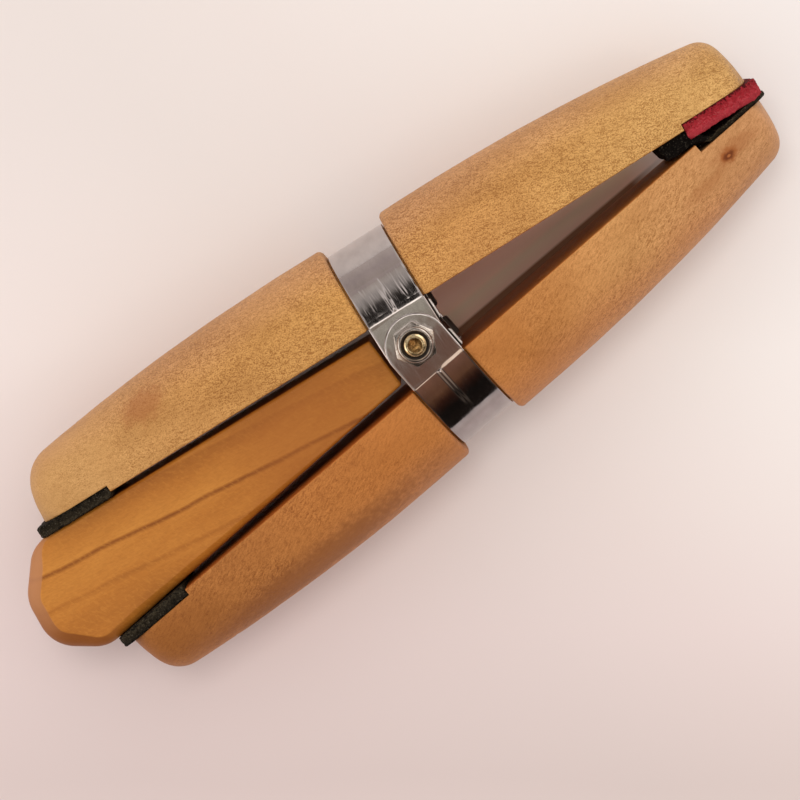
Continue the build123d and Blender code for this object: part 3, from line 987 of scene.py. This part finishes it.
def bolt_plate():
    """Yellow plating, with the flat face at the bolt's end painted a darker olive as a painted dark
    reflection.
    """
    nodes = Surface("yellow_plate", roughness=0.24, metallic=1.0)
    local = nodes.place()
    x, y, _ = local.split()
    from_axis = (x * x + y * y).math("SQRT")
    mottle = local.noise(1.8, 3.0, 0.6)
    fine = local.noise(9.0)
    plated = mottle.rise(0.35, 0.65).mix(linear(232, 214, 176), linear(206, 180, 132))
    # painted reflection: the flat face at the bolt's end is darkened to olive, as if it mirrored something
    # dark
    end_face_painted_dark = mottle.rise(0.4, 0.6).mix(linear(176, 138, 88), linear(120, 88, 50))
    beyond_face = (mottle - 0.5) * 0.3 + from_axis - (bolt_radius - bolt_end_rounding - 0.5)
    base = beyond_face.rise(0.35, 0.5).mix(end_face_painted_dark, plated)
    return nodes.finished(base, fine.ramp((0.3, 0.17), (0.7, 0.32)), mottle, 0.05, 0.5)


def plated_steel(name, bright, dull, roughness):
    """Mottled plating between two tones."""
    nodes = Surface(name, roughness=roughness, metallic=1.0)
    local = nodes.place()
    mottle = local.noise(1.4)
    fine = local.noise(9.0)
    base = mottle.rise(0.35, 0.65).mix(bright, dull)
    return nodes.finished(base, fine.ramp((0.3, roughness * 0.7), (0.7, roughness * 1.4)), fine, 0.01, 0.4)


def dark_nylon():
    """Nylon in a dark brown that is partly its own colour and partly painted shade of the pocket in the nut,
    with a faint relief.
    """
    nodes = Surface("dark_nylon_ring")
    mottle = nodes.place().noise(3.0)
    # partly painted shade: the ring's dark brown also stands in for the shade in the nut's pocket
    base = mottle.mix(linear(22, 15, 9), linear(44, 32, 21))
    return nodes.finished(base, height=mottle, depth=0.02, strength=0.5)


def leather(name, turn, wood_side, face_side, rim, light, middle, dark, specks=()):
    """Cut leather with lumpy, fibrous edges. Its colour runs from a darker flesh side at the wood
    to a lighter face, between two distances from the middle of the clamp. The specks are dried glue."""
    nodes = Surface(name, roughness=0.85, specular=0.12)
    local = nodes.place(turn)
    _, y, _ = local.split()
    depth = (abs(y) - face_side) / (wood_side - face_side)
    fibres = local.scaled((1.0, 1.0, 0.5)).noise(1.7, 4.0, 0.7, 0.8)
    mottled = (fibres - 0.5) * 2.4 + depth
    base = mottled.ramp((0.0, rim), (0.14, light), (0.4, middle), (0.75, middle), (1.0, dark))
    lint = local.noise(3.4, 2.0, 0.7).rise(0.6, 0.68)
    base = (lint * 0.4).mix(base, between(light, linear(170, 160, 140), 0.35))
    for centre, radius in specks:
        spot = nodes.blob(turn, centre, (radius, radius, 3 * radius))
        base = spot.mix(base, linear(214, 206, 192))
    return nodes.finished(base, fibres.ramp((0.3, 0.65), (0.7, 0.95)), fibres, 0.5)


# The pieces

pieces = {}
for side, seed in (("upper", 3.0), ("lower", 17.0)):
    pieces[side + "_jaw"] = jaw_mesh(side, seed)
    pieces[side + "_strap"] = strap_mesh(side)
    pieces[side + "_strap_lugs"] = lug_mesh(side)
    tip_slot = "red_leather" if side == "upper" else "black_leather"
    thickness, proud = tip_pad_thickness[side], tip_pad_proud[side]
    pieces[side + "_tip_pad"] = pad_mesh(side, 1, thickness, proud, tip_slot, seed + 1)
    thickness, proud = wedge_pad_thickness, wedge_pad_proud
    pieces[side + "_wedge_pad"] = pad_mesh(side, -1, thickness, proud, "black_leather", seed + 2)
for name, build in (("wedge", wedge_mesh), ("lock_nut", nut_mesh), ("nut_ring", ring_mesh),
                    ("pivot_bolt", bolt_mesh), ("spacer_tube", spacer_mesh)):
    pieces[name] = build()

# tones along the jaws, from the wedge end to the tips
upper_along = tones((0.1, 196, 148, 90), (0.25, 190, 137, 76), (0.45, 196, 143, 76), (0.6, 193, 138, 76),
                    (0.75, 203, 152, 86), (0.9, 203, 156, 92))
lower_along = tones((0.08, 160, 98, 42), (0.2, 176, 112, 54), (0.4, 184, 114, 52), (0.6, 190, 124, 62),
                    (0.75, 203, 147, 88), (0.95, 202, 146, 96))
# strength of the flecks along the jaws
upper_strength = ((0.1, 0.45), (0.22, 0.95), (0.45, 1.1), (0.6, 1.35), (0.9, 1.1))
lower_strength = ((0.08, 0.5), (0.2, 1.1), (0.38, 0.55), (0.6, 0.55), (0.75, 1.0), (0.95, 0.6))
# stains, a knot and a long painted shade, each a centre, radii, colour and weight
upper_spots = (((-46.9, 15.9, 10.4), (6.0, 4.4, 5.0), linear(164, 100, 52), 0.6),)
lower_spots = (((64.5, -11.2, 11.6), (7.0, 2.2, 3.0), linear(172, 108, 60), 0.55),
               ((56.0, -13.2, 11.6), (7.0, 1.8, 3.0), linear(176, 112, 62), 0.45),
               # painted shade along the lower jaw's flank that faces away from the light
               ((-40.0, -18.5, 8.0), (38.0, 6.0, 8.0), linear(136, 78, 30), 0.75),
               ((62.9, -11.5, 11.7), (2.6, 1.8, 2.4), linear(158, 86, 34), 0.85),
               ((62.9, -11.6, 11.7), (1.5, 1.0, 1.5), linear(108, 48, 14), 0.9),
               ((62.9, -11.6, 11.7), (0.5, 0.35, 1.5), linear(196, 118, 60), 0.7))
# rim, light, middle and dark tone of a hide
black = [linear(*levels) for levels in ((14, 10, 8), (66, 57, 42), (38, 31, 21), (12, 9, 6))]
red = [linear(*levels) for levels in ((170, 50, 58), (190, 62, 70), (162, 38, 46), (74, 10, 14))]
glue_specks = (((63.75, -8.73, 11.0), 0.45), ((62.41, -8.95, 11.0), 0.4), ((61.96, -7.86, 11.0), 0.25))

steel = strap_steel()
zinc = plated_steel("zinc_plate", linear(196, 188, 180), linear(160, 150, 142), 0.22)
finishes = {
    # the colour after each jaw's tones is the painted bounce light of its outer flank
    "upper_jaw": jaw_wood("upper_jaw_beech", rest_angle, upper_along, linear(190, 138, 93), upper_strength,
                          radians(17), 1.1, 2.1, upper_spots),
    "lower_jaw": jaw_wood("lower_jaw_beech", -rest_angle, lower_along, linear(190, 124, 72), lower_strength,
                          radians(-24), 1.3, 1.2, lower_spots),
    "upper_strap": steel,
    "lower_strap": steel,
    "upper_strap_lugs": lip_steel_painted_light("upper_lip_steel", rest_angle),
    "lower_strap_lugs": lip_steel_painted_light("lower_lip_steel", -rest_angle),
    "wedge": wedge_wood(),
    "lock_nut": zinc,
    "nut_ring": dark_nylon(),
    "pivot_bolt": bolt_plate(),
    "spacer_tube": zinc,
}
for side, turn in (("upper", rest_angle), ("lower", -rest_angle)):
    for kind, thick, out in (("tip", tip_pad_thickness[side], tip_pad_proud[side]),
                             ("wedge", wedge_pad_thickness, wedge_pad_proud)):
        face = pivot_to_face - out
        colours = red if (side, kind) == ("upper", "tip") else black
        specks = glue_specks if (side, kind) == ("lower", "tip") else ()
        hide = leather(f"{side}_{kind}_pad_hide", turn, face + thick, face, *colours, specks)
        finishes[f"{side}_{kind}_pad"] = hide
for name, piece in pieces.items():
    piece.data.materials.clear()
    piece.data.materials.append(finishes[name])


# Table, light and camera

def table():
    """Pale table top, with painted shade that darkens it towards the lower edge of the picture and painted
    light that brightens it towards both ends of the clamp, and under the gap between the tips a painted
    shadow along the lower jaw and brown painted light coming off the wood."""
    bpy.ops.mesh.primitive_plane_add(size=6.0, location=(0, 0, 0))
    floor = bpy.context.object
    floor.name = "table_top"
    nodes = Surface("pale_table", roughness=0.8, specular=0.2)
    x, y, _ = nodes.place().split()
    down = x * -sin(clamp_turn) - y * cos(clamp_turn)
    cloud = nodes.place().noise(0.012, 2.0)
    # painted shade: the table darkens towards the lower edge of the picture
    shades = (down / 400.0 + cloud * 0.02 + 0.49).ramp(*tones(
        (0.4, 233, 222, 216), (0.51, 238, 227, 221), (0.58, 234, 220, 214), (0.64, 229, 212, 207),
        (0.71, 217, 200, 194), (0.9, 226, 212, 206)))
    # painted light: the table is lighter towards both ends of the clamp, most towards the tips
    painted_light_by_x = (x / 200.0 + 0.5).ramp(
        (0.1, (1.03, 1.02, 1.04)), (0.42, (1.0, 1.01, 1.02)), (0.55, (1.03, 1.04, 1.05)),
        (0.72, (1.08, 1.12, 1.14)), (0.9, (1.11, 1.17, 1.21)))
    base = shades.tinted(painted_light_by_x)
    gap_span = 24.0
    from_near_side = (y - x * 0.064) / gap_span + 0.5
    from_far_side = (y + x * 0.028) / gap_span + 0.5
    # painted shadow as a dark brown band along the lower jaw, then painted brown light coming off the wood
    painted_shadow_and_bounce = from_near_side.ramp((0.285, (0.22, 0.11, 0.06)), (0.305, (0.8, 0.55, 0.43)),
                                 (0.4, (0.98, 0.79, 0.59)), (0.51, (1.42, 0.97, 0.79)))
    across = from_near_side.rise(0.19, 0.23) * from_far_side.ramp((0.66, 1.0), (0.69, 0.0))
    within = (x / tone_span + 0.5).ramp((0.5, 0.0), (0.52, 1.0), (0.8, 1.0), (0.86, 0.0))
    base = (across * within).mix(base, base.tinted(painted_shadow_and_bounce))
    floor.data.materials.append(nodes.finished(base))


def area_lamp(name, place, size, power, colour):
    """Square lamp at a place given from the pivot, which it faces."""
    data = bpy.data.lights.new(name, "AREA")
    data.size = size
    data.energy = power
    data.color = colour
    lamp = add_object(name, data)
    lamp.location = pivot + Vector(place)
    lamp.rotation_mode = "QUATERNION"
    lamp.rotation_quaternion = Vector(place).to_track_quat("Z", "Y")
    return lamp


def lighting():
    """Soft light, stronger from the upper jaw's side, and a room that only the glossy surfaces mirror:
    a spine of bright and dark bands over the clamp, and walls towards its two ends."""
    world = bpy.data.worlds.new("soft_room")
    bpy.context.scene.world = world
    world.use_nodes = True
    tree = world.node_tree
    tree.nodes.clear()
    x, y, _ = Value(tree, "TexCoord", {}, "Generated").split()
    along, sideways = y * 0.5 + 0.5, abs(x)
    warm, dim = (1.0, 0.968, 0.95), 0.58
    soft = along.ramp((0.0, tuple(c * dim for c in warm)), (1.0, warm))
    spine = along.ramp(
        (0.0, (0.012, 0.008, 0.006)), (0.055, (0.005, 0.004, 0.003)), (0.076, (0.037, 0.012, 0.007)),
        (0.105, (0.157, 0.072, 0.036)), (0.2, (0.26, 0.13, 0.085)), (0.26, (0.26, 0.13, 0.085)),
        (0.27, (1.4, 1.15, 0.9)), (0.395, (1.4, 1.15, 0.9)), (0.41, (0.24, 0.135, 0.09)),
        (0.459, (0.185, 0.1, 0.072)), (0.474, (0.3, 0.22, 0.18)), (0.486, (0.45, 0.435, 0.36)),
        (0.522, (0.47, 0.44, 0.37)), (0.53, (1.9, 1.8, 1.65)), (0.604, (1.9, 1.8, 1.65)),
        (0.62, (0.02, 0.018, 0.016)), (0.765, (0.04, 0.035, 0.03)), (0.785, (0.26, 0.24, 0.22)),
        (0.806, (0.453, 0.423, 0.4)), (0.851, (0.567, 0.52, 0.478)), (0.918, (0.453, 0.389, 0.351)),
        (0.98, (0.49, 0.417, 0.398)), (1.0, (0.66, 0.56, 0.52)))
    walls = sideways.ramp(
        (0.2, (0.75, 0.7, 0.66)), (0.33, (0.95, 0.9, 0.85)), (0.4, (0.07, 0.06, 0.05)),
        (0.58, (0.05, 0.045, 0.04)), (0.66, (1.4, 1.3, 1.2)), (0.8, (2.3, 2.15, 2.0)),
        (0.97, (2.3, 2.15, 2.0)), (1.0, (1.2, 1.1, 1.0)))
    wall_shade = along.ramp((0.0, (0.08, 0.07, 0.06)), (0.25, (0.14, 0.11, 0.09)), (0.42, (0.5, 0.42, 0.36)),
                            (0.5, 1.0), (1.0, 0.9))
    room = sideways.rise(0.1, 0.2).mix(spine, walls.tinted(wall_shade)).to("Background", {1: 1.0})
    soft = soft.to("Background", {1: 1.1})
    glossy = Value(tree, "LightPath", {}, "Is Glossy Ray")
    add_node(tree, "OutputWorld", {0: glossy.to("MixShader", {1: soft, 2: room})})
    window = area_lamp("window_light", (0.04, 0.225, 0.974), 0.26, 1.9, (1.0, 0.985, 0.97))
    window.visible_glossy = False
    area_lamp("side_light", (0.62, -0.34, 0.72), 0.16, 0.35, (1.0, 0.97, 0.95))


def camera():
    """Camera 0.6 m above the pivot, leaning a little, with the clamp turned across the picture."""
    offset = Vector((25.25, 34.62, 600.0)) * MM
    lean = Vector((0.09013, 0.00389, -0.00318))
    focal_pixels, picture_width, sensor = 3350.0, 800, 36.0
    right = Vector((cos(clamp_turn), -sin(clamp_turn), 0))
    down = Vector((-sin(clamp_turn), -cos(clamp_turn), 0))
    ahead = Vector((0, 0, -1))
    axes = Quaternion(lean.normalized(), lean.length).to_matrix() @ Matrix((right, down, ahead))
    data = bpy.data.cameras.new("camera")
    data.sensor_width = sensor
    data.lens = focal_pixels / picture_width * sensor
    data.clip_start = 0.01
    data.clip_end = 20
    viewer = add_object("camera", data)
    rotation = Matrix((axes[0], -axes[1], -axes[2])).transposed()
    viewer.matrix_world = Matrix.Translation(pivot + offset) @ rotation.to_4x4()
    bpy.context.scene.camera = viewer


table()
lighting()
camera()
bpy.context.scene.view_settings.view_transform = "Standard"
